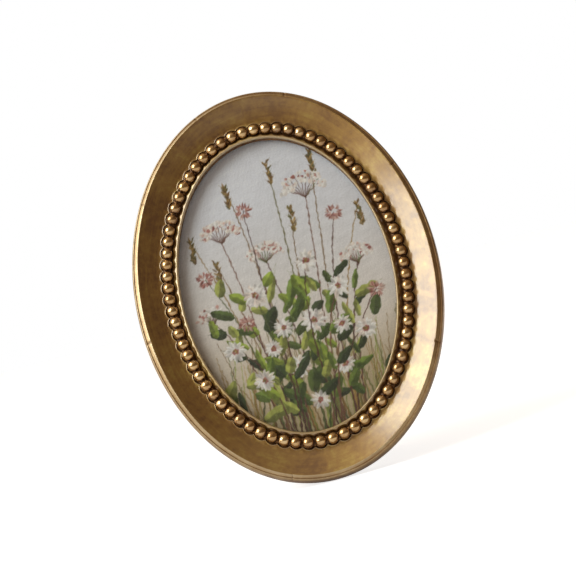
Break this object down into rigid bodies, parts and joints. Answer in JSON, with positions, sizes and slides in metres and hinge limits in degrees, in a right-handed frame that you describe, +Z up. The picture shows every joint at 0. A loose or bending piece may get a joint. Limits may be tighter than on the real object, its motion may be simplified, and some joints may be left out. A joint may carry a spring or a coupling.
{
  "type": "oval picture frame",
  "caption": "Oval glazed picture frame with a gilt, hollow moulding and a bead border, standing on a hinged easel strut, with a hanging ring and turn buttons on its back.",
  "frame": {"origin": "on the surface the frame stands on, under the middle of the standing frame's width and depth", "axes": "+Z up, -Y the way the picture faces, +X to the right as seen from the front"},
  "size_m": [0.169, 0.083, 0.2177],
  "materials": {
    "gilt": "antique gold with dark patina over cast resin",
    "gilt_beads": "polished antique gold over cast resin",
    "glass": "clear",
    "print": "matt print",
    "card": "plain grey-brown card",
    "board": "hardboard",
    "felt": "black flocked felt",
    "plated": "brass plated, satin",
    "screw": "zinc plated"
  },
  "bodies": {
    "frame": {"frame_moulding": "gilt", "bead_strand": "gilt_beads", "glass_pane": "glass", "picture_print": "print", "filler_card": "card", "back_board": "board", "back_felt": "felt", "turn_button_screws": "screw", "hinge_plate": "plated", "hinge_pin": "screw", "hinge_plate_rivets": "plated", "hanger_strap": "plated", "hanger_screw": "screw"},
    "strut": {"easel_strut": "board", "strut_felt": "felt", "strut_leaf": "plated", "strut_rivets": "plated"},
    "button_upper_right": {"turn_button_upper_right": "plated"},
    "button_upper_left": {"turn_button_upper_left": "plated"},
    "button_lower_left": {"turn_button_lower_left": "plated"},
    "button_lower_right": {"turn_button_lower_right": "plated"},
    "ring": {"hanger_ring": "plated"}
  },
  "joints": [
    {"name": "strut_hinge", "type": "hinge", "parent": "frame", "child": "strut", "pos_m": [0, 0.01634, 0.13577], "axis": [-1, 0, 0], "range_deg": [0, 26]},
    {"name": "button_upper_right_turn", "type": "hinge", "parent": "frame", "child": "button_upper_right", "pos_m": [0.05151, 0.02474, 0.17341], "axis": [0, 0.9613, -0.2756], "continuous": true},
    {"name": "button_upper_left_turn", "type": "hinge", "parent": "frame", "child": "button_upper_left", "pos_m": [-0.05151, 0.02474, 0.17341], "axis": [0, 0.9613, -0.2756], "continuous": true},
    {"name": "button_lower_left_turn", "type": "hinge", "parent": "frame", "child": "button_lower_left", "pos_m": [-0.05151, -0.01413, 0.03787], "axis": [0, 0.9613, -0.2756], "continuous": true},
    {"name": "button_lower_right_turn", "type": "hinge", "parent": "frame", "child": "button_lower_right", "pos_m": [0.05151, -0.01413, 0.03787], "axis": [0, 0.9613, -0.2756], "continuous": true},
    {"name": "ring_swing", "type": "hinge", "parent": "frame", "child": "ring", "pos_m": [0, 0.03567, 0.20357], "axis": [1, 0, 0], "range_deg": [-9, 164]}
  ]
}
